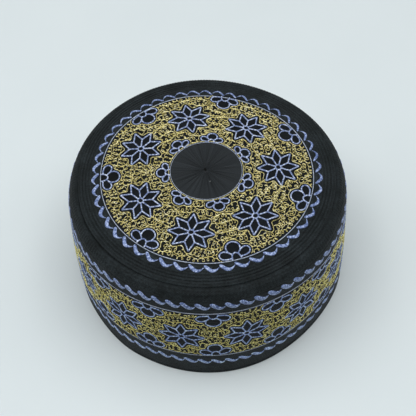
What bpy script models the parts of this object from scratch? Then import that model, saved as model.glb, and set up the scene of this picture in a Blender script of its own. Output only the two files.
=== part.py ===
"""A round cloth cap: a flat quilted crown sewn into a stiff side band that is open below.

The rim stands on z = 0 with the cap's axis on Z. All sizes are in metres.
"""

import math

import bmesh
import bpy

# Driving sizes of the cap
RIM_RADIUS = 0.0923
SHOULDER_RADIUS = 0.0876
SEAM_RADIUS = 0.0798
BAND_HEIGHT = 0.0926
SHOULDER_DROP = 0.0124
SHOULDER_ROUNDNESS = 1.55
CREST_DROP = 0.0013
BAND_THICKNESS = 0.0025
BAND_BULGE = 0.0009
SEAM_ROUND = 0.0018
LIP_THICKNESS = 0.0014
LIP_DEPTH = 0.0046

# The crown disc, from its centre outwards; the shares place the rings of points across it
CROWN_THICKNESS = 0.0025
CROWN_RISE = 0.0023
RING_RADIUS = 0.0654
CENTRE_DISC_RADIUS = 0.0222
DIMPLE_RADIUS = 0.0022
DIMPLE_DEPTH = 0.0010
PLEATS = 24
PLEAT_DEPTH = 0.0004
RIBS = 4
RIB_INNER_RADIUS = 0.0725
RIB_PITCH = 0.00145
RIB_DEPTH = 0.0005
EDGE_ROUND = 0.0013
EDGE_DEPTH = 0.0030
EDGE_FOLD = 0.0025
CENTRE_SHARES = (0.35, 0.7, 0.97, 1.0)
PATTERN_SHARES = (0.55, 0.8, 1.0)

# How the pieces are divided and kept apart
GAP = 0.0003
SEGMENTS = 96
WALL_ROWS = 7
SHOULDER_STEPS = 6
HEM_ROUND = 0.0006
SHARP_DEGREES = 50

# Where the cap is pushed out of round: compass angle and width in degrees, push at the rim and at
# the shoulder in metres. The first two rows are the soft corner that folding the cap flat has left.
PUSHES = (
    {"angle": -128, "width": 5, "rim": 0.0003, "shoulder": 0.0},
    {"angle": -148, "width": 12, "rim": -0.0012, "shoulder": 0.0},
    {"angle": -88, "width": 14, "rim": 0.0006, "shoulder": 0.0},
    {"angle": -48, "width": 15, "rim": -0.0012, "shoulder": 0.0},
    {"angle": -15, "width": 10, "rim": 0.0014, "shoulder": 0.0},
    {"angle": 65, "width": 24, "rim": 0.0, "shoulder": -0.0024},
    {"angle": 178, "width": 16, "rim": -0.0010, "shoulder": -0.0008},
)
PUSH_STARTS_RADIUS = 0.0700
RIM_PUSH_FADE = 1.5

CLOTH_BLACK = (0.016, 0.017, 0.020, 1.0)


def clear_scene():
    """Removes whatever the file holds, so that the cap is all there is."""
    for thing in list(bpy.data.objects):
        bpy.data.objects.remove(thing)


def crown_level(radius):
    """Height of the crown's upper face at a radius: a shallow dome through the ring's level."""
    return BAND_HEIGHT + CROWN_RISE * (1 - (radius / RING_RADIUS) ** 2)


def push(angle, height):
    """How far the cap is pushed out of round at an angle and a height above the rim."""
    up = min(max(height / (BAND_HEIGHT - SHOULDER_DROP), 0.0), 1.0)
    total = 0.0
    for row in PUSHES:
        away = (math.degrees(angle) - row["angle"] + 180) % 360 - 180
        bell = math.exp(-0.5 * (away / row["width"]) ** 2)
        total += bell * (row["rim"] * (1 - up) ** RIM_PUSH_FADE + row["shoulder"] * up)
    return total


def pleated(angle, radius):
    """How far the radial pleats lower the crown's centre disc."""
    if not DIMPLE_RADIUS < radius < CENTRE_DISC_RADIUS:
        return 0.0
    return PLEAT_DEPTH * 0.5 * (1 + math.cos(PLEATS * angle))


def push_share(radius):
    """How much of a push reaches a radius: none on the embroidered crown, all of it on the wall."""
    return min(max((radius - PUSH_STARTS_RADIUS) / (SHOULDER_RADIUS - PUSH_STARTS_RADIUS), 0.0), 1.0)


def out_of_round(mesh):
    """Moves each point sideways by the cap's pushes."""
    for vert in mesh.verts:
        radius = math.hypot(vert.co.x, vert.co.y)
        if radius < PUSH_STARTS_RADIUS:
            continue
        angle = math.atan2(vert.co.y, vert.co.x)
        scale = 1 + push_share(radius) * push(angle, vert.co.z) / radius
        vert.co.x *= scale
        vert.co.y *= scale


def turned(name, outline, closed, material):
    """Spins an outline of (radius, height) points about the axis into an object."""
    mesh = bmesh.new()
    points = [mesh.verts.new((radius, 0, height)) for radius, height in outline]
    edges = [mesh.edges.new(pair) for pair in zip(points, points[1:])]
    if closed:
        edges.append(mesh.edges.new((points[-1], points[0])))
    bmesh.ops.spin(mesh, geom=points + edges, cent=(0, 0, 0), axis=(0, 0, 1),
                   angle=math.tau, steps=SEGMENTS, use_merge=True)
    bmesh.ops.remove_doubles(mesh, verts=mesh.verts[:], dist=1e-6)
    bmesh.ops.recalc_face_normals(mesh, faces=mesh.faces[:])
    out_of_round(mesh)
    data = bpy.data.meshes.new(name)
    thing = bpy.data.objects.new(name, data)
    bpy.context.collection.objects.link(thing)
    data.materials.append(material)
    return thing, mesh


def finish_mesh(thing, mesh):
    """Writes the edited mesh to its object and shades it smooth up to its sharp edges."""
    mesh.to_mesh(thing.data)
    mesh.free()
    thing.data.shade_smooth()
    thing.data.set_sharp_from_angle(angle=math.radians(SHARP_DEGREES))
    return thing


def crown_outline():
    """The crown's section, from the middle of its upper face round the edge to the middle below."""
    points = [(0.0, crown_level(0) - DIMPLE_DEPTH)]
    rings = [DIMPLE_RADIUS]
    rings += [share * CENTRE_DISC_RADIUS for share in CENTRE_SHARES]
    rings += [share * RING_RADIUS for share in PATTERN_SHARES]
    rings.append(RIB_INNER_RADIUS)
    for radius in rings:
        points.append((radius, crown_level(radius)))
    for step in range(1, 2 * RIBS + 1):
        radius = RIB_INNER_RADIUS + step * RIB_PITCH / 2
        points.append((radius, crown_level(radius) - (step % 2) * RIB_DEPTH))
    edge = SEAM_RADIUS - GAP / 2
    top = crown_level(edge - EDGE_ROUND)
    for degrees in (30, 60, 90):
        turn = math.radians(degrees)
        points.append((edge - EDGE_ROUND * (1 - math.sin(turn)), top - EDGE_ROUND * (1 - math.cos(turn))))
    points.append((edge, top - EDGE_DEPTH))
    inner = edge - EDGE_FOLD
    for radius in (inner, 0.5 * inner, 0.0):
        points.append((radius, crown_level(radius) - CROWN_THICKNESS))
    return points


def crown_top(material):
    """The quilted disc: dimple and pleats in the middle, ribs near its rounded, folded edge."""
    thing, mesh = turned("crown_top", crown_outline(), False, material)
    for vert in mesh.verts:
        radius = math.hypot(vert.co.x, vert.co.y)
        if vert.co.z > crown_level(radius) - PLEAT_DEPTH:
            vert.co.z -= pleated(math.atan2(vert.co.y, vert.co.x), radius)
    return finish_mesh(thing, mesh)


def wall_radius(height):
    """Outer radius of the band's wall at a height above the rim."""
    down = 1 - height / (BAND_HEIGHT - SHOULDER_DROP)
    return SHOULDER_RADIUS + (RIM_RADIUS - SHOULDER_RADIUS) * down + 4 * BAND_BULGE * down * (1 - down)


def band_outline():
    """The band's section: up the outside, over the rolled shoulder, down the seam and the inside."""
    shoulder = BAND_HEIGHT - SHOULDER_DROP
    lip = SEAM_RADIUS + GAP / 2
    crest_radius = lip + SEAM_ROUND
    crest = crown_level(crest_radius) - CREST_DROP
    points = [(RIM_RADIUS - HEM_ROUND, 0.0), (wall_radius(HEM_ROUND), HEM_ROUND)]
    for row in range(1, WALL_ROWS + 1):
        height = shoulder * row / WALL_ROWS
        points.append((wall_radius(height), height))
    power = 2 / SHOULDER_ROUNDNESS
    for step in range(1, SHOULDER_STEPS + 1):
        turn = math.pi / 2 * step / SHOULDER_STEPS
        points.append((crest_radius + (SHOULDER_RADIUS - crest_radius) * math.cos(turn) ** power,
                       shoulder + (crest - shoulder) * math.sin(turn) ** power))
    for degrees in (30, 60, 90):
        turn = math.radians(degrees)
        points.append((crest_radius - SEAM_ROUND * math.sin(turn), crest - SEAM_ROUND * (1 - math.cos(turn))))
    points.append((lip, crest - LIP_DEPTH))
    points.append((lip + LIP_THICKNESS, crest - LIP_DEPTH))
    for row in range(WALL_ROWS, 0, -2):
        height = shoulder * row / WALL_ROWS - HEM_ROUND
        points.append((wall_radius(height) - BAND_THICKNESS, height))
    points.append((RIM_RADIUS - BAND_THICKNESS, 0.0))
    return points


def side_band(material):
    """The stiff wall with its rolled shoulder, open at the rim and at the crown's seam."""
    thing, mesh = turned("side_band", band_outline(), True, material)
    return finish_mesh(thing, mesh)


def cloth(name, colour):
    """Stitched cotton: matt, dark, with a faint sheen."""
    material = bpy.data.materials.new(name)
    material.use_nodes = True
    shader = material.node_tree.nodes["Principled BSDF"]
    shader.inputs["Base Color"].default_value = colour
    shader.inputs["Roughness"].default_value = 0.85
    shader.inputs["Metallic"].default_value = 0.0
    shader.inputs["Sheen Weight"].default_value = 0.2
    return material


clear_scene()
crown_top(cloth("crown_cloth", CLOTH_BLACK))
side_band(cloth("band_cloth", CLOTH_BLACK))
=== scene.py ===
"""An embroidered kufi standing on its rim: stitched black cloth, satin-stitched blue motifs, gold loops.

Lengths are in metres and angles in radians, unless a name or a comment says otherwise. Angles round the
cap run against the clock from +X, seen from above. The embroidery is drawn flat, as points (u, v) with a
lift off the cloth, and then laid on the crown or round the wall.
"""

import math

import bpy
import numpy as np
from mathutils import Matrix, Vector


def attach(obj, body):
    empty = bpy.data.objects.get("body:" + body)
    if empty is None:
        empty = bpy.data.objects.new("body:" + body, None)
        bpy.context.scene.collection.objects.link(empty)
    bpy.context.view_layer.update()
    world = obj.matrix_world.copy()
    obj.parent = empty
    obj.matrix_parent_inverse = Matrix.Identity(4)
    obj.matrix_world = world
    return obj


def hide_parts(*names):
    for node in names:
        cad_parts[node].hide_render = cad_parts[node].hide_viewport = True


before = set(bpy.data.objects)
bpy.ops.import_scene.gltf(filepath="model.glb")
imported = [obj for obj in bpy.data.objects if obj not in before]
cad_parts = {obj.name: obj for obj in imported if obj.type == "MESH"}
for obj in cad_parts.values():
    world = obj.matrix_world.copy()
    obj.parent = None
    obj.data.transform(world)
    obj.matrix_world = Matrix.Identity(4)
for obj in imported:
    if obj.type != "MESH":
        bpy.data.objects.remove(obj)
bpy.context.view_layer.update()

MM = 0.001

# The cap's own sizes, as its solids have them but for the ribs and the seam's edges
RIM_RADIUS = 0.0923
SHOULDER_RADIUS = 0.0876
SEAM_RADIUS = 0.0798
BAND_HEIGHT = 0.0926
SHOULDER_DROP = 0.0124
SHOULDER_ROUNDNESS = 1.55
CREST_DROP = 0.0013
BAND_THICKNESS = 0.0025
BAND_BULGE = 0.0009
SEAM_ROUND = 0.0018
SEAM_FALL = 0.0001
LIP_THICKNESS = 0.0014
LIP_DEPTH = 0.0046
CROWN_THICKNESS = 0.0025
CROWN_RISE = 0.0023
RING_RADIUS = 0.0654
CENTRE_DISC_RADIUS = 0.0222
DIMPLE_RADIUS = 0.0022
DIMPLE_DEPTH = 0.0010
RIBS = 3
RIB_INNER_RADIUS = 0.07276
RIB_PITCH = 0.00198
EDGE_ROUND = 0.0010
EDGE_DEPTH = 0.0030
EDGE_FOLD = 0.0025
GAP = 0.0003
SHOULDER_HEIGHT = BAND_HEIGHT - SHOULDER_DROP
LIP_RADIUS = SEAM_RADIUS + GAP / 2
CREST_RADIUS = LIP_RADIUS + SEAM_ROUND
SHOULDER_POWER = 2 / SHOULDER_ROUNDNESS

# Where the cap is pushed out of round: angle and width in degrees, and how far out at the rim and at
# the shoulder
PUSH_STARTS_RADIUS = 0.0700
RIM_PUSH_FADE = 1.5
PUSHES = (
    {"angle": -128, "width": 5, "rim": 0.0003, "shoulder": 0.0},
    {"angle": -148, "width": 12, "rim": -0.0012, "shoulder": 0.0},
    {"angle": -88, "width": 14, "rim": 0.0006, "shoulder": 0.0},
    {"angle": -48, "width": 15, "rim": -0.0012, "shoulder": 0.0},
    {"angle": -15, "width": 10, "rim": 0.0014, "shoulder": 0.0},
    {"angle": 65, "width": 24, "rim": 0.0, "shoulder": -0.0024},
    {"angle": 178, "width": 16, "rim": -0.0010, "shoulder": -0.0008},
)

# Where the shoulder's edge lies deeper in the seam, or less deep, with angle and width in degrees too
SEAM_GROOVES = (
    {"angle": 205, "width": 22, "deep": 0.0012},
    {"angle": 264, "width": 22, "deep": -0.0005},
)

# The crown's cloth: its innermost ring; how many rings it has to the dimple's edge, to the disc's edge,
# to the ribs and across them; the centre disc's radial grooves of uneven length; and the ribs' shape
POLE_RADIUS = 0.0004
CROWN_STEPS = (5, 14, 20, 8 * RIBS)
GROOVES = 28
GROOVE_SEGMENTS = 12
GROOVE_DEPTH = 0.00045
GROOVE_SHARPNESS = 7
GROOVE_REACH = {"mean": 0.7, "varies": 0.3, "step": 2.4}
GROOVE_FADE = 0.006
RIB_RELIEF = 0.0006
RIB_SHARPNESS = 0.7

# The rolled shoulder and its tucks, which swell outwards and upwards between their stitches, and less
# near the crest and the foot
ROLL_FOOT_HEIGHT = 0.0852
ROLL_THICKNESS = 0.0014
TUCKS = 264
TUCK_SEGMENTS = 6
TUCK_RELIEF = 0.00022
TUCK_SHARPNESS = 0.8
TUCK_MEAN = 0.6
TUCK_AT_CREST = 0.4
TUCK_AT_FOOT = 0.15
TUCK_RISE = 3
TUCK_DIRECTION = (0.6, 0.8)

# The wall's rounded foot and its hem, which has more points for its line of stitches
BAND_SEGMENTS = 480
FOOT_ROUND = 0.0006
HEM_HEIGHT = 0.0060
HEM_SEAM_HEIGHT = 0.0030
HEM_SEAM_WIDTH = 0.0007
HEM_SEAM_DEPTH = 0.00035

# The pattern: its repeats, where they start in degrees round the cap, and where its lines and motifs
# lie. The wall's is stretched upwards between its lines, and its threads are drawn tighter.
CROWN_REPEATS = 7
CROWN_STAR_DEGREES = 103.21
CROWN_FLOWER_DEGREES = 78.36
CROWN_STAR_RADIUS = 0.0447
CROWN_LINE_RADIUS = 0.0653
WALL_REPEATS = 14
WALL_FLOWER_DEGREES = -89.286
WALL_RADIUS = 0.0905
UPPER_LINE_HEIGHT = 0.0691
LOWER_LINE_HEIGHT = 0.0249
LINES_APART = UPPER_LINE_HEIGHT - LOWER_LINE_HEIGHT
WALL_STAR_HEIGHT = 0.0451
FLOWER_INSET = 0.0004
WALL_STRETCH = 1.12
WALL_TIGHTNESS = 0.5

# Where the crown's embroidery is pulled out of round: angle and width in degrees, and the pull outwards.
# It grows from nothing at the centre disc to its full size at the ring.
CROWN_PULLS = (
    {"angle": 68, "width": 21, "out": -0.0023},
    {"angle": 150, "width": 13, "out": 0.0010},
    {"angle": 337, "width": 32, "out": 0.0009},
)

# Where the wall's embroidery is pulled up, at its lower line and at its upper line (angle and width in
# degrees), and how much nearer to the front its motifs stand at the left and at the right
WALL_PULLS = (
    {"angle": 252, "width": 16, "low": 0.0012, "high": 0.0},
    {"angle": 213, "width": 13, "low": 0.0018, "high": -0.0026},
    {"angle": 327, "width": 13, "low": 0.0, "high": -0.0024},
)
WALL_CROWDING = 0.0065

# How far the motifs stand off their places, by kind, with a value for each repeat: outwards or up,
# round against the clock, and turned in degrees. The crown's repeats are counted with the clock, and
# the wall's against it from the front.
CROWN_SHIFTS = {
    "crown_star": {
        "out": (0, -0.0012, -0.0005, -0.0004, 0.0010, 0.0003, 0),
        "round": (-0.0005, -0.0003, 0.0005, 0, -0.0003, 0.0008, -0.0004),
        "turned": (-2, -1, 2, 2, 4, 0, 0),
    },
    "outer_flower": {
        "out": (0.0011, 0.0004, 0.0003, 0, -0.0002, 0, 0.0005),
        "round": (-0.0020, 0.0005, 0.0041, 0, -0.0007, 0, -0.0008),
        "turned": (-1, 1, 3, 3, 1, 0, 2),
    },
    "inner_flower": {
        "out": (-0.0003, 0, 0, 0.0005, 0, 0, 0),
        "round": (0.0008, 0, 0, 0, 0, 0, 0),
        "turned": (-3, 0, 0, 0, -4, 0, 0),
    },
}
WALL_SHIFTS = {
    "lower_flower": {
        "round": (0.0007, 0.0011, 0.0020, 0, 0, 0, 0, 0, 0, 0, 0, 0, 0.0007, -0.0009),
        "up": (0, -0.0003, -0.0006, 0, 0, 0, 0, 0, 0, 0, 0, 0, -0.0003, 0),
        "turned": (5, 3, -4, 0, 0, 0, 0, 0, 0, 0, 0, 0, 5, -2),
    },
    "wall_star": {
        "round": (-0.0005, 0.0001, 0.0010, 0, 0, 0, 0, 0, 0, 0, 0, -0.0006, 0.0001, 0.0002),
        "up": (0.0002, 0.0002, 0.0020, 0, 0, 0, 0, 0, 0, 0, 0, 0.0012, 0.0007, -0.0004),
        "turned": (-1, 4, 1, 0, 0, 0, 0, 0, 0, 0, 0, 1, -3, 0),
    },
    "upper_flower": {
        "round": (-0.0005, 0, -0.0006, 0, 0, 0, 0, 0, 0, 0, 0, 0, -0.0007, -0.0006),
        "up": (-0.0003, -0.0002, 0, 0, 0, 0, 0, 0, 0, 0, 0, 0, 0, -0.0003),
        "turned": (1, -5, -3, 0, 0, 0, 0, 0, 0, 0, 0, 0, 5, 1),
    },
}

# The motifs. The half flower stands on its base line and opens along u; all flowers are scaled copies of
# it. A petal leans by degrees, its foot is a share of its width, and it is fullest at a share of its length.
STAR_POINTS = 8
STAR_TIP_RADIUS = 0.0133
STAR_NOTCH_RADIUS = 0.0074
STAR_EYE_RADIUS = 0.0018
EYE_HALF_WIDTH = 0.0028
EYE_HEIGHT = 0.0044
BIG_PETAL = {"start": (0.0050, 0.0), "lean": 0, "long": 0.0069, "wide": 0.0086,
             "foot": 0.84, "fullest": 0.45}
SIDE_PETAL = {"start": (0.0024, 0.0024), "lean": 67, "long": 0.0076, "wide": 0.0052,
              "foot": 0.5, "fullest": 0.6}

# The size of each kind of motif, along its own direction (u for a star on the wall) and across it
MOTIF_SCALES = {
    "crown_star": (0.945, 1.045),
    "wall_star": (1.07, 0.95),
    "outer_flower": (0.965, 0.965),
    "inner_flower": (0.695, 0.735),
    "upper_flower": (0.95, 1.06),
    "lower_flower": (1.05, 0.98),
}

# Where the gold begins: how far it stays clear of the motifs' strokes, how far out a star reaches at
# most, and how far to each side a half flower's border runs, in degrees
STAR_CLEAR = 0.0020
STAR_REACH = 0.0144
FLOWER_CLEAR = 0.0015
BORDER_DEGREES = 84

# The thin arcs that join the tips of neighbouring stars on the crown
BRIDGES = (
    {"radius": 0.0460, "half": 0.0074, "bulge": 0.0005},
    {"radius": 0.0359, "half": 0.0068, "bulge": -0.0023},
)

# One wave of the wavy edging, from its blunt end to its thin end: shares of the repeat and of the
# depth, and the stitching's width. Each edging swings round by some degrees, may grow thinner to the
# back, and is fuller or slimmer round one angle.
CROWN_WAVE = {
    "along": (0.00, 0.08, 0.25, 0.40, 0.55, 0.69, 0.81, 0.91, 0.98),
    "deep": (0.00, 0.04, 0.47, 0.83, 1.00, 0.95, 0.77, 0.52, 0.32),
    "wide": (0.0011, 0.0016, 0.0018, 0.0019, 0.0018, 0.0014, 0.0009, 0.0005, 0.0003),
}
WALL_WAVE = {
    "along": (-0.02, 0.08, 0.25, 0.45, 0.62, 0.76, 0.87, 0.96),
    "deep": (0.10, 0.00, 0.30, 0.80, 1.00, 0.97, 0.76, 0.46),
    "wide": (0.0022, 0.0035, 0.0041, 0.0042, 0.0039, 0.0028, 0.0015, 0.0008),
}
CROWN_WAVES = {"wave": CROWN_WAVE, "start": 0.0671, "depth": 0.0030, "repeats": 49, "degrees": -129.0,
               "swing": 1.55, "swing_degrees": 20, "thinning": 0.3,
               "fuller": {"angle": 190, "width": 30, "by": 0.25}}
WALL_WAVES = {"wave": WALL_WAVE, "swing": 1.9, "swing_degrees": 180, "thinning": 0.0,
              "fuller": {"angle": 270, "width": 30, "by": -0.25}}
UPPER_WAVES = {**WALL_WAVES, "start": 0.0775, "depth": -0.0030, "repeats": 62, "degrees": -90.3}
LOWER_WAVES = {**WALL_WAVES, "start": 0.0182, "depth": -0.0031, "repeats": 65, "degrees": -90.6}

# Threads: their sections, as shares of half the width and of the height, and their sizes
FINE = np.array(((-1, 0), (0, 1), (1, 0)))
YARN = np.array(((-1, 0), (-0.55, 1), (0.55, 1), (1, 0)))
SATIN = np.array(((-1, 0), (-0.74, 0.7), (-0.25, 1), (0.25, 1), (0.74, 0.7), (1, 0)))
THREAD_SUNK = 0.00015
STITCH = 0.00032
STITCH_RELIEF = 0.22
BLUE_WIDTH = 0.00098
BLUE_HEIGHT = 0.00050
WAVE_HEIGHT = 0.00060
WAVE_FULL_SHARE = 0.625
WAVE_RELIEF = 0.42
LINE_WIDTH = 0.00048
DISC_LINE_WIDTH = 0.00030
LINE_HEIGHT = 0.00035
LINE_STEP = 0.0005
GOLD_HEIGHT = 0.00042
BORDER_STEP = 0.0008
BORDER_INSET = 0.0009

# The gold filling: rows of looped chains, how far apart the rows and the loops are, and the thread's
# width; then how the loops vary, drift and sway, rise off the cloth, and stop at the gold's edges
SEED = 7
CROWN_CHAINS = {"rows": 0.0028, "pitch": 0.0026, "radius": 0.0012, "width": 0.00040}
WALL_CHAINS = {"rows": 0.0033, "pitch": 0.0030, "radius": 0.0014, "width": 0.00038}
CHAIN_SHARES = (0.65, 1.4)
CHAIN_DRIFT = 0.00035
CHAIN_SWAY = 0.0009
CHAIN_SWAY_LENGTH = 0.0115
CHAIN_SWAY_STEP = 0.9
CHAIN_STEPS = 12
CHAIN_LIFT = 0.00025
CHAIN_KEEP = 0.9
CHAIN_MARGIN = 0.00030
CHAIN_EDGE = 0.0009

# Shades of the cloth, of the cloth between the gold threads (painted shade: painted darker as if the threads
# shaded it), of the centre disc and of the table: each stop is a place on the ramp and a colour
CLOTH_SHADES = ((0.30, (0.007, 0.010, 0.011)), (0.75, (0.017, 0.023, 0.026)))
UNDER_GOLD_PAINTED_SHADE = ((0.30, (0.001, 0.002, 0.003)), (0.75, (0.005, 0.008, 0.011)))
DISC_SHADES = ((0.30, (0.012, 0.015, 0.017)), (0.70, (0.029, 0.035, 0.040)))
TABLE_SHADES = ((0.3, (0.655, 0.725, 0.745)), (0.7, (0.675, 0.745, 0.765)))

# The cloth's weave, mottle, fuzz and grain, and what the disc shows: streaks, a dark middle, a pale speck
WEAVE_PITCH = 0.0009
WEAVE_SHADE = 0.12
WEAVE_RELIEF = 0.3
CORD_RELIEF = 0.35
MOTTLE_SCALE = 90
FUZZ_SCALE = 2600
CLOTH_BUMP = {"distance": 0.00035, "strength": 0.8}
GRAIN = 2.4
GRAIN_SCALE = 850
STREAKS = {"scale": 13, "middle": 2.0, "edge": 0.4}
MIDDLE = {"place": (-0.0006, 0.0007, 0.0), "radius": 0.0009, "colour": (0.003, 0.004, 0.004, 1.0)}
SPECK = {"place": (0.0021, -0.0086, 0.0), "radius": 0.0005, "colour": (0.12, 0.13, 0.135, 1.0)}

# How a thread's colour wanders at random, its fine fibres, and the dark, middle and light colours of each
# kind of thread; the light colours, near white, are partly painted glints and sheen
THREAD_NOISE = ({"scale": 1000, "share": 0.65}, {"scale": 3200, "share": 0.35})
FIBRE_SCALE = 5200
FIBRE_BUMP = {"distance": 0.00008, "strength": 0.6}
SHEEN_ROUGHNESS = 0.4
THREAD_COLOURS_AND_GLINTS = {
    "blue_satin": {"dark": (0.06, 0.10, 0.25), "middle": (0.24, 0.32, 0.56), "light": (0.76, 0.84, 1.0)},
    "edging_satin": {"dark": (0.03, 0.06, 0.19), "middle": (0.15, 0.22, 0.44), "light": (0.50, 0.60, 0.86)},
    # The wall's blue is the crown's blue satin painted darker and deeper: painted shade for the wall's
    # lesser sheen
    "wall_satin_painted_darker": {"dark": (0.03, 0.06, 0.20), "middle": (0.19, 0.29, 0.60), "light": (0.70, 0.84, 1.0)},
    "pale_thread": {"dark": (0.25, 0.31, 0.42), "middle": (0.40, 0.47, 0.60), "light": (0.66, 0.72, 0.85)},
    "gold_lurex": {"dark": (0.10, 0.08, 0.02), "middle": (0.76, 0.66, 0.20), "light": (1.0, 1.0, 0.78)},
    # The wall's gold is the crown's gold thread painted brighter: painted light for the lesser light on the
    # wall
    "wall_lurex_painted_brighter": {"dark": (0.10, 0.08, 0.02), "middle": (1.0, 0.88, 0.20), "light": (1.0, 1.0, 0.58)},
}

# The camera, fitted to the photograph: its angles in degrees, its lens and sensor in millimetres
CAMERA_DISTANCE = 0.4694
CAMERA_ELEVATION = 52.498
CAMERA_PAN = -0.031
CAMERA_TILT = -2.698
CAMERA_ROLL = 2.215
CAMERA_LENS = 65.64
SENSOR_WIDTH = 36.0

# The table and the light
TABLE_HALF = 3.0
TABLE_MOTTLE_SCALE = 9
TABLE_GRAIN_SCALE = 500
TABLE_BUMP = {"distance": 0.0001, "strength": 0.3}
ROOM_LIGHT = 0.13
LAMPS = (
    {"name": "overhead", "place": (0.0, 0.0, 1.6), "size": 1.6, "power": 19.0},
    {"name": "right_side", "place": (1.0, 0.0, 1.3), "size": 1.2, "power": 6.3},
    {"name": "left_side", "place": (-1.0, 0.0, 1.3), "size": 1.2, "power": 8.6},
)


def crown_level(radius):
    """Height of the crown's upper face at a radius."""
    return BAND_HEIGHT + CROWN_RISE * (1 - (radius / RING_RADIUS) ** 2)


CREST_HEIGHT = crown_level(CREST_RADIUS) - CREST_DROP


def wall_section(height):
    """Outer radius of the band at a height: the flared wall, and above it the rolled shoulder."""
    height = np.asarray(height, float)
    down = np.clip(1 - height / SHOULDER_HEIGHT, 0, None)
    wall = SHOULDER_RADIUS + (RIM_RADIUS - SHOULDER_RADIUS) * down + 4 * BAND_BULGE * down * (1 - down)
    up = np.clip((height - SHOULDER_HEIGHT) / (CREST_HEIGHT - SHOULDER_HEIGHT), 0, 1)
    turn = np.arcsin(up ** (1 / SHOULDER_POWER))
    roll = CREST_RADIUS + (SHOULDER_RADIUS - CREST_RADIUS) * np.cos(turn) ** SHOULDER_POWER
    return np.where(height > SHOULDER_HEIGHT, roll, wall)


def bell(degrees, row):
    """A soft bump round the cap: 1 at a row's angle, fading over its width."""
    away = (degrees - row["angle"] + 180) % 360 - 180
    return np.exp(-0.5 * (away / row["width"]) ** 2)


def out_of_round(points):
    """Moves points sideways by the soft dents that the cap has."""
    radius = np.hypot(points[..., 0], points[..., 1])
    degrees = np.degrees(np.arctan2(points[..., 1], points[..., 0]))
    up = np.clip(points[..., 2] / SHOULDER_HEIGHT, 0, 1)
    total = np.zeros_like(radius)
    for row in PUSHES:
        total += bell(degrees, row) * (row["rim"] * (1 - up) ** RIM_PUSH_FADE + row["shoulder"] * up)
    share = np.clip((radius - PUSH_STARTS_RADIUS) / (SHOULDER_RADIUS - PUSH_STARTS_RADIUS), 0, 1)
    scale = 1 + share * total / np.maximum(radius, MM)
    return points * np.stack([scale, scale, np.ones_like(scale)], -1)


def about_axis(radius, angle, height):
    """Points in space at a radius, an angle and a height."""
    return np.stack([radius * np.cos(angle), radius * np.sin(angle), height], -1)


def on_crown(u, v, lift):
    """Lays flat points on the crown, pulled as its embroidery is: u and v are x and y."""
    angle = np.arctan2(v, u)
    radius = np.hypot(u, v)
    pull = sum(bell(np.degrees(angle), row) * row["out"] for row in CROWN_PULLS)
    share = np.clip((radius - CENTRE_DISC_RADIUS) / (RING_RADIUS - CENTRE_DISC_RADIUS), 0, 1)
    radius = radius + share * pull
    return out_of_round(about_axis(radius, angle, crown_level(radius) + lift))


def on_wall(u, v, lift):
    """Lays flat points on the band, pulled as its embroidery is.

    u runs round the wall's mean radius and v is the height, which is stretched between the two lines.
    The threads are drawn tighter than the crown's and stand less high.
    """
    small = 0.1 * MM
    lift = lift * WALL_TIGHTNESS
    up = np.clip((v - LOWER_LINE_HEIGHT) / LINES_APART, 0, 1)
    v = v + (WALL_STRETCH - 1) * LINES_APART * up
    for row in WALL_PULLS:
        v = v + bell(np.degrees(u / WALL_RADIUS), row) * (row["low"] * (1 - up) + row["high"] * up)
    slope = (wall_section(v + small) - wall_section(v - small)) / (2 * small)
    outward = lift / np.sqrt(1 + slope ** 2)
    return out_of_round(about_axis(wall_section(v) + outward, u / WALL_RADIUS, v - slope * outward))


def new_piece(name, points, quads, triangles, material):
    """Makes a smooth mesh object from arrays and lets it ride on the cap."""
    mesh = bpy.data.meshes.new(name)
    mesh.vertices.add(len(points))
    mesh.vertices.foreach_set("co", np.ascontiguousarray(points, dtype=np.float32).ravel())
    corners = np.concatenate([quads.ravel(), triangles.ravel()]).astype(np.int32)
    mesh.loops.add(len(corners))
    mesh.loops.foreach_set("vertex_index", corners)
    starts = np.concatenate([4 * np.arange(len(quads)), 4 * len(quads) + 3 * np.arange(len(triangles))])
    mesh.polygons.add(len(starts))
    mesh.polygons.foreach_set("loop_start", starts.astype(np.int32))
    mesh.update(calc_edges=True)
    mesh.validate()
    mesh.shade_smooth()
    mesh.materials.append(material)
    piece = bpy.data.objects.new(name, mesh)
    bpy.context.collection.objects.link(piece)
    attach(piece, "root")
    return piece


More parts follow.
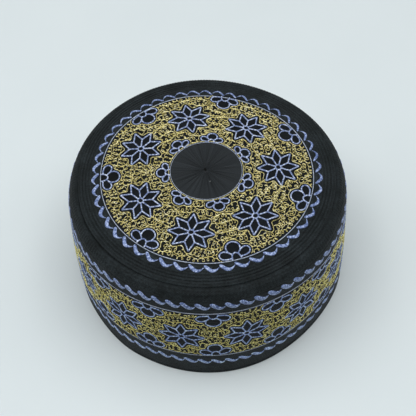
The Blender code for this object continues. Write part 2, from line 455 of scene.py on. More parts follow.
class Threads:
    """Strands of thread, gathered as closed tubes in flat coordinates and made into one mesh."""

    def __init__(self):
        self.points = []
        self.quads = []
        self.triangles = []
        self.count = 0

    def add(self, path, width, height, section=YARN, closed=False, lift=0.0, relief=0.0):
        """Adds a strand along a path; width, height and lift are one for all or one for each point."""
        steps, sides = len(path), len(section)
        if closed:
            along = np.roll(path, -1, axis=0) - np.roll(path, 1, axis=0)
        else:
            along = np.gradient(path, axis=0)
        along /= np.maximum(np.linalg.norm(along, axis=1, keepdims=True), 1e-9)
        right = np.stack([along[:, 1], -along[:, 0]], -1)
        half = np.broadcast_to(width, steps)[:, None] / 2 * section[:, 0]
        tall = np.broadcast_to(height, steps) * (1 - relief * (np.arange(steps) % 2))
        up = np.broadcast_to(lift, steps)[:, None] + tall[:, None] * section[:, 1]
        up = np.where(section[:, 1] > 0, up, -THREAD_SUNK)
        flat = path[:, None] + right[:, None] * half[..., None]
        self.points.append(np.concatenate([flat, up[..., None]], -1).reshape(-1, 3))
        index = self.count + np.arange(steps * sides).reshape(steps, sides)
        self.count += index.size
        here = index if closed else index[:-1]
        ahead = np.roll(index, -1, axis=0) if closed else index[1:]
        walls = np.stack([here, np.roll(here, -1, 1), np.roll(ahead, -1, 1), ahead], -1)
        self.quads.append(walls.reshape(-1, 4))
        if not closed:
            for k in range(1, sides - 1):
                self.triangles.append(index[0, [0, k + 1, k]])
                self.triangles.append(index[-1, [0, k, k + 1]])

    def make(self, name, surface, material, slot):
        """Lays the strands on their surface as one piece."""
        points = np.concatenate(self.points)
        laid = surface(points[:, 0], points[:, 1], points[:, 2])
        triangles = np.array(self.triangles, int).reshape(-1, 3)
        return new_piece(name, laid, np.concatenate(self.quads), triangles, material)


def resample(points, step):
    """Spreads points evenly along a path, about a step apart; further columns are carried along."""
    run = np.concatenate([[0], np.cumsum(np.linalg.norm(np.diff(points[:, :2], axis=0), axis=1))])
    count = max(2, round(run[-1] / step))
    at = np.linspace(0, run[-1], count + 1)
    return np.stack([np.interp(at, run, column) for column in points.T], -1)


def smooth(points, steps=12):
    """A curve through the points (Catmull-Rom), with a few steps between each pair."""
    points = np.asarray(points, float)
    before, after = 2 * points[0] - points[1], 2 * points[-1] - points[-2]
    padded = np.concatenate([[before], points, [after]])
    t = np.linspace(0, 1, steps, endpoint=False)[:, None]
    pieces = []
    for a, b, c, d in zip(padded, padded[1:], padded[2:], padded[3:]):
        bend = (2 * a - 5 * b + 4 * c - d) * t ** 2 + (3 * b - a - 3 * c + d) * t ** 3
        pieces.append(b + 0.5 * ((c - a) * t + bend))
    return np.concatenate(pieces + [points[-1:]])


def around(radius, angle):
    """Flat points at a radius and an angle."""
    return np.stack(np.broadcast_arrays(radius * np.cos(angle), radius * np.sin(angle)), -1)


def placed(path, centre, turn):
    """Turns a flat path by an angle and moves it to a centre."""
    cos, sin = math.cos(turn), math.sin(turn)
    return np.asarray(path) @ np.array([[cos, sin], [-sin, cos]]) + np.asarray(centre)


def star_strokes():
    """The strokes of an eight-pointed star with one tip along u."""
    strokes = []
    step = math.tau / STAR_POINTS
    for k in range(STAR_POINTS):
        tip = around(STAR_TIP_RADIUS, k * step)
        before = around(STAR_NOTCH_RADIUS, (k - 0.5) * step)
        after = around(STAR_NOTCH_RADIUS, (k + 0.5) * step)
        inner = around(STAR_EYE_RADIUS, (k + 0.5) * step)
        strokes += [np.array(pair) for pair in ((before, tip), (tip, after), (inner, after))]
    turn = np.linspace(0, math.tau, 41)
    return strokes + [around(STAR_EYE_RADIUS, turn)]


def petal(shape):
    """An open petal: from one foot over its tip to the other foot."""
    rise = np.linspace(0, 1, 12, endpoint=False)
    turn = np.linspace(0, math.pi / 2, 16)
    fullest, foot = shape["fullest"], shape["foot"]
    along = np.concatenate([fullest * rise, fullest + (1 - fullest) * np.sin(turn)])
    across = np.concatenate([foot + (1 - foot) * np.sin(rise * math.pi / 2), np.cos(turn)])
    side = np.stack([shape["long"] * along, shape["wide"] / 2 * across], -1)
    path = np.concatenate([side, side[-2::-1] * (1, -1)])
    return placed(path, shape["start"], math.radians(shape["lean"]))


def flower_strokes():
    """The strokes of a half flower that opens along u from the middle of its base line."""
    turn = np.linspace(-math.pi / 2, math.pi / 2, 40)
    eye = np.stack([EYE_HEIGHT * np.cos(turn), EYE_HALF_WIDTH * np.sin(turn)], -1)
    side = petal(SIDE_PETAL)
    return [side, side * (1, -1), petal(BIG_PETAL), eye]


def strokes_of(kind):
    """The strokes of a kind of motif, at its size."""
    strokes = star_strokes() if "star" in kind else flower_strokes()
    return [resample(path * MOTIF_SCALES[kind], STITCH) for path in strokes]


def reach(kind):
    """How far from its middle a kind of motif keeps the gold away, as angles and distances.

    It is the outer edge of a strip that runs round the strokes, smoothed a little.
    """
    clear, farthest = (STAR_CLEAR, STAR_REACH) if "star" in kind else (FLOWER_CLEAR, 1.0)
    beside = 5
    angle = np.radians(np.arange(-180, 181))
    x, y = np.concatenate(strokes_of(kind)).T
    along = np.cos(angle)[:, None] * x + np.sin(angle)[:, None] * y
    across = np.cos(angle)[:, None] * y - np.sin(angle)[:, None] * x
    depth = np.sqrt(np.clip(clear ** 2 - across ** 2, 0, None))
    far = np.minimum(np.where(depth > 0, along + depth, 0).max(axis=1), farthest)
    far = np.concatenate([far[-beside - 1:-1], far, far[1:beside + 1]])
    return angle, np.convolve(far, np.full(2 * beside + 1, 1 / (2 * beside + 1)), "valid")


MOTIF_REACH = {kind: reach(kind) for kind in MOTIF_SCALES}


def crown_motifs():
    """Where the crown's motifs stand: flat centre, direction and kind."""
    kinds = (("crown_star", CROWN_STAR_DEGREES, CROWN_STAR_RADIUS, 0),
             ("outer_flower", CROWN_FLOWER_DEGREES, CROWN_LINE_RADIUS - FLOWER_INSET, math.pi),
             ("inner_flower", CROWN_FLOWER_DEGREES, CENTRE_DISC_RADIUS, 0))
    motifs = []
    for kind, degrees, radius, faces in kinds:
        for k in range(CROWN_REPEATS):
            turn = math.radians(degrees - k * 360 / CROWN_REPEATS)
            shift = {name: values[k] for name, values in CROWN_SHIFTS[kind].items()}
            centre = around(radius + shift["out"], turn + shift["round"] / radius)
            turned_by = math.radians(shift["turned"]) + shift["round"] / radius
            motifs.append((centre, turn + faces + turned_by, kind))
    return motifs


def wall_motifs():
    """Where the wall's motifs stand, as for the crown; at the front's two sides they crowd together."""
    kinds = (("upper_flower", 0, UPPER_LINE_HEIGHT - FLOWER_INSET, -math.pi / 2),
             ("lower_flower", 0, LOWER_LINE_HEIGHT, math.pi / 2),
             ("wall_star", 0.5, WALL_STAR_HEIGHT, 0.0))
    motifs = []
    for kind, step, height, faces in kinds:
        for k in range(WALL_REPEATS):
            turn = math.radians(WALL_FLOWER_DEGREES + (k + step) * 360 / WALL_REPEATS)
            shift = {name: values[k] for name, values in WALL_SHIFTS[kind].items()}
            u = turn * WALL_RADIUS - WALL_CROWDING * math.sin(turn + math.pi / 2) ** 3 + shift["round"]
            motifs.append(((u, height + shift["up"]), faces + math.radians(shift["turned"]), kind))
    return motifs


def draw_motifs(name, motifs, surface, material):
    """Stitches the stars and the half flowers of a surface, as a piece each."""
    stars, flowers = Threads(), Threads()
    for centre, turn, kind in motifs:
        threads = stars if "star" in kind else flowers
        for stroke in strokes_of(kind):
            threads.add(placed(stroke, centre, turn), BLUE_WIDTH, BLUE_HEIGHT, relief=STITCH_RELIEF)
    stars.make(name + "_stars", surface, material, "blue_thread")
    flowers.make(name + "_flowers", surface, material, "blue_thread")


def wave_strokes(waves, polar):
    """The strokes of a wavy edging, flat, with their widths: round a centre, or along a wall."""
    wave = waves["wave"]
    curve = smooth(np.stack([wave["along"], wave["deep"], wave["wide"]], -1))
    strokes = []
    for k in range(waves["repeats"]):
        angle = math.radians(waves["degrees"]) + (k + curve[:, 0]) * math.tau / waves["repeats"]
        angle += math.radians(waves["swing"]) * np.cos(angle - math.radians(waves["swing_degrees"]))
        away = waves["start"] + waves["depth"] * curve[:, 1]
        flat = around(away, angle) if polar else np.stack([angle * WALL_RADIUS, away], -1)
        fuller = waves["fuller"]["by"] * bell(np.degrees(angle), waves["fuller"])
        width = curve[:, 2] * (1 - waves["thinning"] * np.sin(angle) + fuller)
        strokes.append(resample(np.concatenate([flat, width[:, None]], 1), STITCH))
    return strokes


def draw_waves(name, waves, polar, surface, material):
    """Stitches a wavy edging as one piece."""
    threads = Threads()
    for stroke in wave_strokes(waves, polar):
        width = stroke[:, 2]
        height = WAVE_HEIGHT * np.clip(width / (WAVE_FULL_SHARE * width.max()), 0, 1)
        threads.add(stroke[:, :2], width, height, section=SATIN, relief=WAVE_RELIEF)
    threads.make(name, surface, material, "blue_thread")


def crown_ring(radius, step):
    """A flat path once round the crown, with points about a step apart."""
    return around(radius, np.linspace(0, math.tau, round(math.tau * radius / step), endpoint=False))


def wall_ring(height):
    """A flat path once round the wall, left open where its ends meet."""
    count = round(math.tau * WALL_RADIUS / LINE_STEP)
    u = np.linspace(0, math.tau * WALL_RADIUS, count + 1)
    return np.stack([u, np.full_like(u, height)], -1)


def draw_lines(material):
    """Stitches the thin rings: two on the crown and two round the wall."""
    crown, wall = Threads(), Threads()
    for radius, width in ((CROWN_LINE_RADIUS, LINE_WIDTH), (CENTRE_DISC_RADIUS, DISC_LINE_WIDTH)):
        crown.add(crown_ring(radius, LINE_STEP), width, LINE_HEIGHT, closed=True, relief=STITCH_RELIEF)
    for height in (UPPER_LINE_HEIGHT, LOWER_LINE_HEIGHT):
        wall.add(wall_ring(height), LINE_WIDTH, LINE_HEIGHT, relief=STITCH_RELIEF)
    crown.make("crown_rings", on_crown, material, "blue_thread")
    wall.make("wall_rings", on_wall, material, "blue_thread")


def gold_margin(points, motifs, period):
    """How far inside the gold each flat point lies, as far as the motifs say."""
    margin = np.full(len(points), 1.0)
    for centre, turn, kind in motifs:
        away = points - np.asarray(centre)
        if period:
            away[:, 0] = (away[:, 0] + period / 2) % period - period / 2
        angle = np.arctan2(away[:, 1], away[:, 0]) - turn
        angle = (angle + math.pi) % math.tau - math.pi
        kept_away = np.interp(angle, *MOTIF_REACH[kind])
        margin = np.minimum(margin, np.hypot(away[:, 0], away[:, 1]) - kept_away)
    return margin


def add_borders(threads, motifs, width):
    """Gold thread round each motif."""
    for centre, turn, kind in motifs:
        most = math.pi if "star" in kind else math.radians(BORDER_DEGREES)
        angle = np.linspace(-most, most, 181)
        edge = resample(around(np.interp(angle, *MOTIF_REACH[kind]), angle), BORDER_STEP)
        threads.add(placed(edge, centre, turn), width, GOLD_HEIGHT)


def add_chains(threads, chains, strip, length, place, margin_of, random):
    """Lays rows of looped chains of gold in a strip, wherever they run inside the gold.

    strip is its lowest and highest level, length is a row's length, place turns a way along a row and a
    level into flat points, and margin_of says how far inside the gold flat points are.
    """
    low, high = strip
    count = round((high - low) / chains["rows"])
    for number, row in enumerate(np.linspace(low + chains["rows"] / 2, high - chains["rows"] / 2, count)):
        loops = round(length(row) / chains["pitch"])
        knots = np.arange(loops + 1)
        step = np.arange(loops * CHAIN_STEPS + 1) / CHAIN_STEPS
        share = random.uniform(*CHAIN_SHARES, loops + 1)
        at = np.concatenate([[0], np.cumsum(share[1:])])
        at *= length(row) / at[-1]
        radius = chains["radius"] * share
        sway = CHAIN_SWAY * np.sin(math.tau * at / CHAIN_SWAY_LENGTH + CHAIN_SWAY_STEP * number)
        drift = row + sway + CHAIN_DRIFT * random.uniform(-1, 1, loops + 1)
        drift = np.clip(drift, low + CHAIN_EDGE, high - CHAIN_EDGE)
        along, level = np.interp(step, knots, at), np.interp(step, knots, drift)
        margin = margin_of(place(row, along, level))
        size = np.clip(margin * CHAIN_KEEP, 0, np.interp(step, knots, radius))
        turn = math.tau * step * (-1) ** number
        path = place(row, along + size * np.cos(turn), level + size * np.sin(turn))
        lift = CHAIN_LIFT * (0.5 + 0.5 * np.cos(turn))
        flags = np.concatenate([[0], margin > CHAIN_MARGIN, [0]])
        ends = np.flatnonzero(np.diff(flags))
        for first, last in zip(ends[::2], ends[1::2]):
            if last - first > CHAIN_STEPS / 2:
                run = slice(first, last)
                threads.add(path[run], chains["width"], GOLD_HEIGHT, section=FINE, lift=lift[run])


def draw_crown_gold(material):
    """The crown's gold: outlines of motifs and centre disc, arcs between the stars, and the filling."""
    motifs = crown_motifs()
    inner, outer = CENTRE_DISC_RADIUS + BORDER_INSET, CROWN_LINE_RADIUS - BORDER_INSET
    width = CROWN_CHAINS["width"]
    border = Threads()
    add_borders(border, motifs, width)
    border.add(crown_ring(inner, BORDER_STEP), width, GOLD_HEIGHT, closed=True)
    for k in range(CROWN_REPEATS):
        turn = math.radians(CROWN_FLOWER_DEGREES - k * 360 / CROWN_REPEATS)
        for row in BRIDGES:
            arc = smooth([(row["radius"], row["half"]), (row["radius"] + row["bulge"], 0),
                          (row["radius"], -row["half"])])
            path = placed(resample(arc, BORDER_STEP), (0, 0), turn)
            border.add(path, width, GOLD_HEIGHT, lift=CHAIN_LIFT)
    border.make("crown_gold_outline", on_crown, material, "gold_thread")

    def margin_of(points):
        radius = np.hypot(points[:, 0], points[:, 1])
        return np.minimum(gold_margin(points, motifs, None), np.minimum(outer - radius, radius - inner))

    filling = Threads()
    add_chains(filling, CROWN_CHAINS, (inner, outer), lambda row: math.tau * row,
               lambda row, along, level: around(level, along / row), margin_of, np.random.default_rng(SEED))
    filling.make("crown_gold_filling", on_crown, material, "gold_thread")


def draw_wall_gold(material):
    """The wall's gold, whose filling is two pieces of half the wall each."""
    motifs = wall_motifs()
    half_round = math.pi * WALL_RADIUS
    low, high = LOWER_LINE_HEIGHT + BORDER_INSET, UPPER_LINE_HEIGHT - BORDER_INSET
    border = Threads()
    add_borders(border, motifs, WALL_CHAINS["width"])
    border.make("wall_gold_outline", on_wall, material, "gold_thread")

    def margin_of(points):
        edges = np.minimum(high - points[:, 1], points[:, 1] - low)
        return np.minimum(gold_margin(points, motifs, 2 * half_round), edges)

    random = np.random.default_rng(SEED + 1)
    for half, name in enumerate(("wall_gold_filling_back", "wall_gold_filling_front")):
        filling = Threads()
        start = half * half_round
        add_chains(filling, WALL_CHAINS, (low, high), lambda row: half_round,
                   lambda row, along, level: np.stack([start + along, level], -1), margin_of, random)
        filling.make(name, on_wall, material, "gold_thread")


def turned(name, section, segments, shape, poles, material):
    """Turns a section of (radius, height) points round the axis into a closed piece of cloth.

    The section runs outwards on top and inwards below, so that the faces point out. shape moves the
    grid of points; poles are the heights that close it on the axis, top and bottom.
    """
    angle = np.linspace(0, math.tau, segments, endpoint=False)
    grid = np.repeat(section[:, None], segments, 1)
    radius, height = shape(grid[..., 0], grid[..., 1], angle)
    rows = len(section)
    index = np.arange(rows * segments).reshape(rows, segments)
    here = index[:-1] if poles else index
    below = index[1:] if poles else np.roll(index, -1, axis=0)
    quads = np.stack([here, below, np.roll(below, -1, 1), np.roll(here, -1, 1)], -1).reshape(-1, 4)
    points = out_of_round(about_axis(radius, angle, height)).reshape(-1, 3)
    triangles = np.zeros((0, 3), int)
    if poles:
        points = np.concatenate([points, [(0, 0, poles[0]), (0, 0, poles[1])]])
        top = np.full(segments, rows * segments)
        upper = np.stack([top, index[0], np.roll(index[0], -1)], -1)
        lower = np.stack([top + 1, np.roll(index[-1], -1), index[-1]], -1)
        triangles = np.concatenate([upper, lower])
    return new_piece(name, points, quads, triangles, material)


def crown_relief(radius):
    """Height of the crown's upper face with its dimple and its corded ribs."""
    dimple = DIMPLE_DEPTH * np.cos(np.clip(radius / DIMPLE_RADIUS, 0, 1) * math.pi / 2) ** 2
    across = (radius - RIB_INNER_RADIUS) / RIB_PITCH
    ribbed = (across > 0) & (across < RIBS)
    groove = RIB_RELIEF * (1 - np.abs(np.sin(math.pi * across)) ** RIB_SHARPNESS)
    return crown_level(radius) - dimple - np.where(ribbed, groove, 0)


def crown_cloth(material):
    """The quilted disc, with radial grooves in its middle and corded ribs near its edge."""
    edge = LIP_RADIUS
    ends = (POLE_RADIUS, DIMPLE_RADIUS, CENTRE_DISC_RADIUS, RIB_INNER_RADIUS,
            RIB_INNER_RADIUS + RIBS * RIB_PITCH)
    spans = zip(ends, ends[1:], CROWN_STEPS)
    radii = np.concatenate([np.linspace(first, last, steps, endpoint=False) for first, last, steps in spans])
    upper = np.stack([radii, crown_relief(radii)], -1)
    turn = np.linspace(0, math.pi / 2, 6)
    top = crown_level(edge - EDGE_ROUND)
    rounding = np.stack([edge - EDGE_ROUND * (1 - np.sin(turn)), top - EDGE_ROUND * (1 - np.cos(turn))], -1)
    under = [(edge, top - EDGE_DEPTH)]
    for radius in (edge - EDGE_FOLD, 0.5 * edge, POLE_RADIUS):
        under.append((radius, crown_level(radius) - CROWN_THICKNESS))

    def stitched(radius, height, angle):
        wave = np.sin(GROOVE_REACH["step"] * np.round(GROOVES * angle / math.tau))
        end = CENTRE_DISC_RADIUS * (GROOVE_REACH["mean"] + GROOVE_REACH["varies"] * wave)
        inside = np.clip((radius - 0.5 * DIMPLE_RADIUS) / MM, 0, 1)
        inside = inside * np.clip((end - radius) / GROOVE_FADE, 0, 1)
        groove = (0.5 + 0.5 * np.cos(GROOVES * angle)) ** GROOVE_SHARPNESS
        on_top = (np.arange(len(radius)) < len(upper))[:, None]
        return radius, height - GROOVE_DEPTH * inside * groove * on_top

    poles = (crown_level(0) - DIMPLE_DEPTH, crown_level(0) - CROWN_THICKNESS)
    section = np.concatenate([upper, rounding, under])
    piece = turned("crown_cloth", section, GROOVES * GROOVE_SEGMENTS, stitched, poles, material)
    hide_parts("crown_top")


def shoulder_roll(material):
    """The rolled shoulder, drawn in by tucks, from the seam out to the wavy edging."""
    under_crest = 0.02 * MM
    back = [(wall_section(ROLL_FOOT_HEIGHT) - ROLL_THICKNESS, ROLL_FOOT_HEIGHT + 0.5 * ROLL_THICKNESS),
            (LIP_RADIUS + LIP_THICKNESS, CREST_HEIGHT - 2 * ROLL_THICKNESS),
            (LIP_RADIUS + LIP_THICKNESS, CREST_HEIGHT - LIP_DEPTH), (LIP_RADIUS, CREST_HEIGHT - LIP_DEPTH)]
    turn = np.linspace(math.pi / 2, 0, 6)
    inner_turn = np.stack([CREST_RADIUS - SEAM_ROUND * np.sin(turn),
                           CREST_HEIGHT - SEAM_FALL * (1 - np.cos(turn)) ** 2], -1)
    heights = np.linspace(CREST_HEIGHT - under_crest, ROLL_FOOT_HEIGHT, 12)
    outer = np.stack([wall_section(heights), heights], -1)
    section = np.concatenate([back, inner_turn, outer])
    from_crest = (section[:, 0] - CREST_RADIUS) / (SHOULDER_RADIUS - CREST_RADIUS)
    from_foot = (section[:, 1] - ROLL_FOOT_HEIGHT) / MM
    tucks = np.clip(from_crest * TUCK_RISE + TUCK_AT_CREST, 0, 1) * np.clip(from_foot, TUCK_AT_FOOT, 1)
    tucks[:len(back)] = 0
    falls = np.zeros(len(section))
    falls[len(back):len(back) + len(turn)] = 1 - np.cos(turn)

    def tucked(radius, height, angle):
        swell = np.abs(np.sin(TUCKS / 2 * angle)) ** TUCK_SHARPNESS
        share = tucks[:, None] * TUCK_RELIEF * (swell - TUCK_MEAN)
        deep = sum(row["deep"] * bell(np.degrees(angle), row) for row in SEAM_GROOVES)
        out, up = TUCK_DIRECTION
        return radius + out * share, height + up * share - falls[:, None] * deep

    piece = turned("shoulder_roll", section, TUCKS * TUCK_SEGMENTS, tucked, None, material)
    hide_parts("side_band")


def band_cloth(material):
    """The stiff wall with its hem, up to where the rolled shoulder covers it."""
    fold = 0.25 * MM
    top = ROLL_FOOT_HEIGHT + MM
    foot = [(RIM_RADIUS - BAND_THICKNESS + FOOT_ROUND * 2 / 3, 0.0)]
    heights = np.linspace(FOOT_ROUND, SHOULDER_HEIGHT, 10)
    inner = np.stack([wall_section(heights) - BAND_THICKNESS, heights], -1)
    under_roll = [(wall_section(top) - BAND_THICKNESS, top - MM), (wall_section(top) - 2 * fold, top)]
    heights = np.concatenate([np.linspace(ROLL_FOOT_HEIGHT - fold, HEM_HEIGHT, 34),
                              np.linspace(HEM_HEIGHT - MM, 2 * FOOT_ROUND, 14),
                              [FOOT_ROUND, FOOT_ROUND / 3, 0.0]])
    seam = HEM_SEAM_DEPTH * np.exp(-((heights - HEM_SEAM_HEIGHT) / HEM_SEAM_WIDTH) ** 2)
    radii = wall_section(heights) - seam
    radii[-2:] -= (FOOT_ROUND / 3, FOOT_ROUND * 5 / 6)
    section = np.concatenate([foot, inner, under_roll, np.stack([radii, heights], -1)])
    piece = turned("band_cloth", section, BAND_SEGMENTS, lambda r, h, angle: (r, h), None, material)
    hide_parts("side_band")


class Look:
    """A material as it is wired: a Principled shader and the nodes that feed it."""

    def __init__(self, name, roughness, sheen=0.0, metallic=0.0, shine=0.5):
        self.material = bpy.data.materials.new(name)
        self.material.use_nodes = True
        self.tree = self.material.node_tree
        self.shader = self.tree.nodes["Principled BSDF"]
        self.feed(self.shader, {"Roughness": roughness, "Sheen Weight": sheen, "Metallic": metallic,
                                "Sheen Roughness": SHEEN_ROUGHNESS, "Specular IOR Level": shine})
        self.place = self.node("ShaderNodeTexCoord").outputs["Object"]

    def feed(self, node, values):
        """Links outputs to a node's inputs, by name or number, or sets the inputs' own values."""
        for key, value in values.items():
            if isinstance(value, bpy.types.NodeSocket):
                self.tree.links.new(value, node.inputs[key])
            else:
                node.inputs[key].default_value = value

    def node(self, kind, values=None, **settings):
        """A new node with its properties set and its inputs fed."""
        made = self.tree.nodes.new(kind)
        for key, value in settings.items():
            setattr(made, key, value)
        self.feed(made, values or {})
        return made

    def maths(self, operation, first, second=0.0):
        """The output of a Math node."""
        return self.node("ShaderNodeMath", {0: first, 1: second}, operation=operation).outputs[0]

    def vector(self, operation, first, second=(0.0, 0.0, 0.0)):
        """A Vector Math node."""
        return self.node("ShaderNodeVectorMath", {0: first, 1: second}, operation=operation)

    def shaded(self, colour, value, amount):
        """A colour made lighter or darker by an amount of a value."""
        scale = self.maths("ADD", self.maths("MULTIPLY", value, amount), 1.0)
        return self.node("ShaderNodeVectorMath", {0: colour, "Scale": scale}, operation="SCALE").outputs[0]

    def mix(self, factor, first, second):
        """The colour between two colours."""
        values = {"Factor": factor, "A": first, "B": second}
        return self.node("ShaderNodeMix", values, data_type="RGBA").outputs["Result"]

    def noise(self, scale, detail=2.0, at=None):
        """The value of a noise texture in the cap's own coordinates, or at another vector."""
        values = {"Vector": at or self.place, "Scale": scale, "Detail": detail}
        return self.node("ShaderNodeTexNoise", values).outputs["Fac"]

    def ramp(self, value, *stops):
        """Colours by value: each stop is a place on the ramp and a colour."""
        made = self.node("ShaderNodeValToRGB", {"Fac": value})
        elements = made.color_ramp.elements
        while len(elements) < len(stops):
            elements.new(0.5)
        for element, (position, colour) in zip(elements, stops):
            element.position = position
            element.color = (*colour, 1.0)
        return made.outputs["Color"]

    def round_cap(self):
        """Distance round the wall, distance from the axis and height, as three outputs."""
        x, y, z = self.node("ShaderNodeSeparateXYZ", {0: self.place}).outputs
        angle = self.maths("ARCTAN2", y, x)
        squares = self.maths("ADD", self.maths("MULTIPLY", x, x), self.maths("MULTIPLY", y, y))
        return self.maths("MULTIPLY", angle, WALL_RADIUS), self.maths("SQRT", squares), z

    def colour(self, value):
        """Feeds a colour to the shader."""
        self.feed(self.shader, {"Base Color": value})

    def bump(self, height, distance, strength):
        """Feeds a height to the shader's normal."""
        values = {"Height": height, "Distance": distance, "Strength": strength}
        self.feed(self.shader, {"Normal": self.node("ShaderNodeBump", values).outputs["Normal"]})


def disc_colour(look):
    """The centre disc's shade: streaks run out from its dark middle, past one pale speck."""
    flat = look.vector("MULTIPLY", look.place, (1.0, 1.0, 0.0)).outputs[0]
    outwards = look.vector("SUBTRACT", flat, MIDDLE["place"]).outputs[0]
    away = look.vector("LENGTH", outwards).outputs["Value"]
    streaks = look.noise(STREAKS["scale"], at=look.vector("NORMALIZE", outwards).outputs[0])
    fall = (STREAKS["middle"] - STREAKS["edge"]) / CENTRE_DISC_RADIUS
    strength = look.maths("SUBTRACT", STREAKS["middle"], look.maths("MULTIPLY", away, fall))
    shade = look.maths("ADD", 0.5, look.maths("MULTIPLY", look.maths("SUBTRACT", streaks, 0.5), strength))
    colour = look.ramp(shade, *DISC_SHADES)
    for spot in (MIDDLE, SPECK):
        off_spot = look.vector("DISTANCE", flat, spot["place"]).outputs["Value"]
        colour = look.mix(look.maths("LESS_THAN", off_spot, spot["radius"]), colour, spot["colour"])
    return colour


def cloth_look(name, along, painted_cord_shading, painted_shade_spans=(), disc=False):
    """Black stitched cotton, whose rows of stitches follow one another along a coordinate.

    The cloth in each span of that coordinate is painted darker, a painted shade of the embroidery, and disc
    adds the centre disc's look.
    """
    look = Look(name, roughness=0.7, sheen=0.03, shine=0.15)
    coordinates = dict(zip(("round", "across", "up"), look.round_cap()))
    rows = look.maths("SINE", look.maths("MULTIPLY", coordinates[along], math.tau / WEAVE_PITCH))
    dashes = look.maths("SINE", look.maths("MULTIPLY", coordinates["round"], math.pi / WEAVE_PITCH))
    weave = look.maths("MULTIPLY", rows, dashes)
    # The cords lighten and darken the colour in the rhythm of the ribs and stitched rows: painted shading of
    # their crests and grooves, on top of their bump
    cords = look.maths("SINE", look.maths("MULTIPLY", coordinates[along], math.tau / RIB_PITCH))
    off_crown = look.maths("GREATER_THAN", coordinates["across"], CROWN_LINE_RADIUS)
    cords = look.maths("MULTIPLY", cords, off_crown)
    shade = look.maths("ADD", look.maths("MULTIPLY", weave, WEAVE_SHADE), look.noise(MOTTLE_SCALE, 4.0))
    colour = look.shaded(look.ramp(shade, *CLOTH_SHADES), cords, painted_cord_shading)
    # Painted shade: inside each span the cloth is painted darker, as if the embroidery shaded it
    for low, high in painted_shade_spans:
        off_middle = look.maths("ABSOLUTE", look.maths("SUBTRACT", coordinates[along], (low + high) / 2))
        inside = look.maths("LESS_THAN", off_middle, (high - low) / 2)
        colour = look.mix(inside, colour, look.ramp(shade, *UNDER_GOLD_PAINTED_SHADE))
    colour = look.shaded(colour, look.maths("SUBTRACT", look.noise(GRAIN_SCALE), 0.5), GRAIN)
    if disc:
        on_disc = look.maths("LESS_THAN", coordinates["across"], CENTRE_DISC_RADIUS)
        colour = look.mix(on_disc, colour, disc_colour(look))
    look.colour(colour)
    relief = look.maths("ADD", look.maths("MULTIPLY", weave, WEAVE_RELIEF),
                        look.maths("MULTIPLY", cords, CORD_RELIEF))
    look.bump(look.maths("ADD", relief, look.noise(FUZZ_SCALE, 4.0)), **CLOTH_BUMP)
    return look.material


def thread_look(name, roughness, sheen=0.0, metallic=0.0, spread=0.12):
    """Thread: its colour wanders at random from stitch to stitch, up to a light colour that is partly a
    painted glint, and fine fibres break up its shine.

    A smaller spread leaves fewer stitches in between the dark and the light shade.
    """
    look = Look(name, roughness=roughness, sheen=sheen, metallic=metallic)
    coarse, fine = (look.maths("MULTIPLY", look.noise(row["scale"]), row["share"]) for row in THREAD_NOISE)
    shade = look.maths("ADD", coarse, fine)
    shades = THREAD_COLOURS_AND_GLINTS[name]
    # The light end of the ramp is partly painted glint and sheen on the thread, partly its own paler tone
    look.colour(look.ramp(shade, (0.5 - spread, shades["dark"]), (0.5, shades["middle"]),
                          (0.5 + spread, shades["light"])))
    look.bump(look.noise(FIBRE_SCALE), **FIBRE_BUMP)
    return look.material


def floor_look():
    """The plain pale table."""
    look = Look("pale_table", roughness=0.75)
    look.colour(look.ramp(look.noise(TABLE_MOTTLE_SCALE), *TABLE_SHADES))
    look.bump(look.noise(TABLE_GRAIN_SCALE), **TABLE_BUMP)
    return look.material


def place_camera():
    """The camera at the photograph's place, from the distance, elevation and small turns."""
    elevation = math.radians(CAMERA_ELEVATION)
    place = Vector((0, -math.cos(elevation), math.sin(elevation))) * CAMERA_DISTANCE
    turn = place.to_track_quat("Z", "Y").to_matrix().to_4x4()
    for degrees, axis in ((CAMERA_PAN, "Y"), (CAMERA_TILT, "X"), (-CAMERA_ROLL, "Z")):
        turn = turn @ Matrix.Rotation(math.radians(degrees), 4, axis)
    data = bpy.data.cameras.new("camera")
    data.lens = CAMERA_LENS
    data.sensor_width = SENSOR_WIDTH
    camera = bpy.data.objects.new("camera", data)
    camera.matrix_world = Matrix.Translation(place + Vector((0, 0, BAND_HEIGHT))) @ turn
    bpy.context.collection.objects.link(camera)
    bpy.context.scene.camera = camera


def place_lamp(row):
    """A soft square lamp that points at the cap."""
    data = bpy.data.lights.new(row["name"], "AREA")
    data.size = row["size"]
    data.energy = row["power"]
    lamp = bpy.data.objects.new(row["name"], data)
    lamp.location = row["place"]
    lamp.rotation_mode = "QUATERNION"
    lamp.rotation_quaternion = lamp.location.to_track_quat("Z", "Y")
    bpy.context.collection.objects.link(lamp)


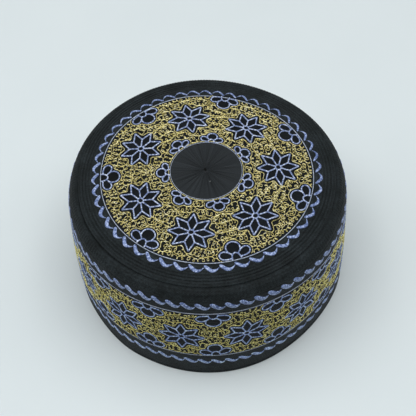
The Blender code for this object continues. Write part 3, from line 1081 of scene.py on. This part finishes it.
def place_stage():
    """The table, the lamps and the room's light."""
    corners = [(x * TABLE_HALF, y * TABLE_HALF, 0) for x, y in ((-1, -1), (1, -1), (1, 1), (-1, 1))]
    mesh = bpy.data.meshes.new("table")
    mesh.from_pydata(corners, [], [(0, 1, 2, 3)])
    mesh.materials.append(floor_look())
    table = bpy.data.objects.new("table", mesh)
    bpy.context.collection.objects.link(table)
    for row in LAMPS:
        place_lamp(row)
    world = bpy.data.worlds.new("room")
    world.use_nodes = True
    background = world.node_tree.nodes["Background"]
    background.inputs["Color"].default_value = (1.0, 1.0, 1.0, 1.0)
    background.inputs["Strength"].default_value = ROOM_LIGHT
    bpy.context.scene.world = world
    bpy.context.scene.view_settings.view_transform = "Standard"


def build():
    """Makes the whole scene."""
    place_camera()
    # The gold's spans, where the cloth is painted darker as painted shade of the threads
    crown_gold = (CENTRE_DISC_RADIUS, CROWN_LINE_RADIUS)
    wall_gold = (LOWER_LINE_HEIGHT, LOWER_LINE_HEIGHT + WALL_STRETCH * LINES_APART)
    # The third argument is how strongly the cords' painted shading lightens and darkens the cloth
    crown_cloth(cloth_look("crown_cotton", "across", 0.2, [crown_gold], disc=True))
    shoulder_roll(cloth_look("roll_cotton", "across", 0.08))
    band_cloth(cloth_look("band_cotton", "up", 0.08, [wall_gold]))
    edging = thread_look("edging_satin", roughness=0.42, sheen=0.1)
    # The wall's satin: the crown's blue thread painted darker, as painted shade for the lesser sheen on the
    # wall
    wall_satin_painted_darker = thread_look("wall_satin_painted_darker", roughness=0.42, sheen=0.1)
    draw_motifs("crown", crown_motifs(), on_crown, thread_look("blue_satin", roughness=0.42, sheen=0.1))
    draw_motifs("wall", wall_motifs(), on_wall, wall_satin_painted_darker)
    draw_lines(thread_look("pale_thread", roughness=0.5, sheen=0.1))
    draw_waves("crown_waves", CROWN_WAVES, True, on_crown, edging)
    draw_waves("upper_wall_waves", UPPER_WAVES, False, on_wall, edging)
    draw_waves("lower_wall_waves", LOWER_WAVES, False, on_wall, wall_satin_painted_darker)
    draw_crown_gold(thread_look("gold_lurex", roughness=0.38, metallic=0.25))
    # The wall's gold: the crown's thread painted brighter and less metallic, as painted light on the wall
    draw_wall_gold(thread_look("wall_lurex_painted_brighter", roughness=0.38, metallic=0.05, spread=0.08))
    place_stage()


build()
